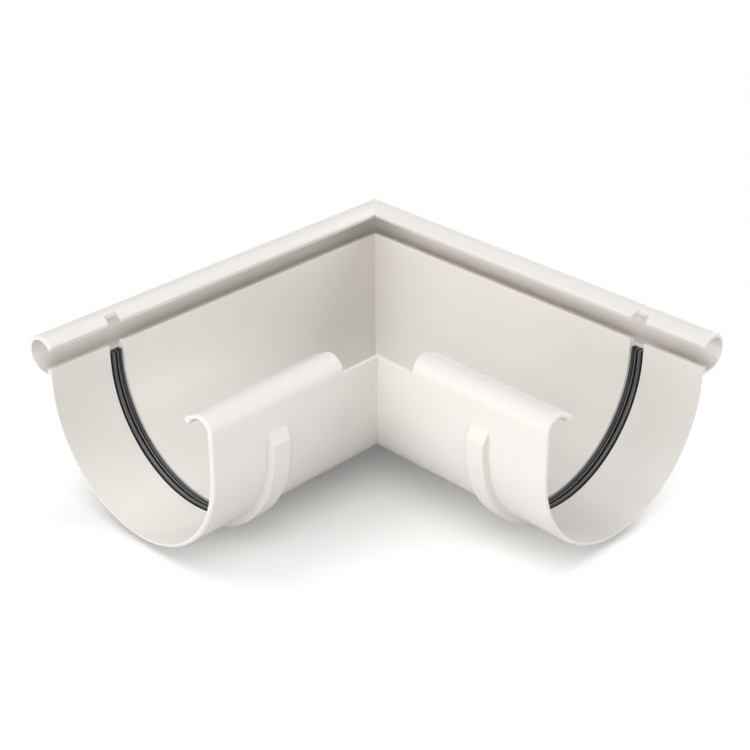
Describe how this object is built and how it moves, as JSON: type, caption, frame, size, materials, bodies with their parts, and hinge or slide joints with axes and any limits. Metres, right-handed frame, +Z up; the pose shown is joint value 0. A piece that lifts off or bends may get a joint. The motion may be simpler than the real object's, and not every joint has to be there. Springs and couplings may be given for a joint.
{
  "type": "gutter external angle",
  "caption": "White plastic half-round gutter outside corner: two mitred arms with front bead, back lip and a rubber seal at each mouth.",
  "frame": {"origin": "on the floor that the seal bands rest on, below the middle of the plan", "axes": "+X along one arm towards its mouth, -Y along the other arm towards its mouth, +Z up"},
  "size_m": [0.2583, 0.2583, 0.1002],
  "materials": {
    "white_pvc": "satin warm white PVC-U, moulded",
    "black_rubber": "matt black EPDM"
  },
  "bodies": {
    "root": {"angle_body": "white_pvc", "seal_right": "black_rubber", "seal_left": "black_rubber"}
  },
  "joints": []
}
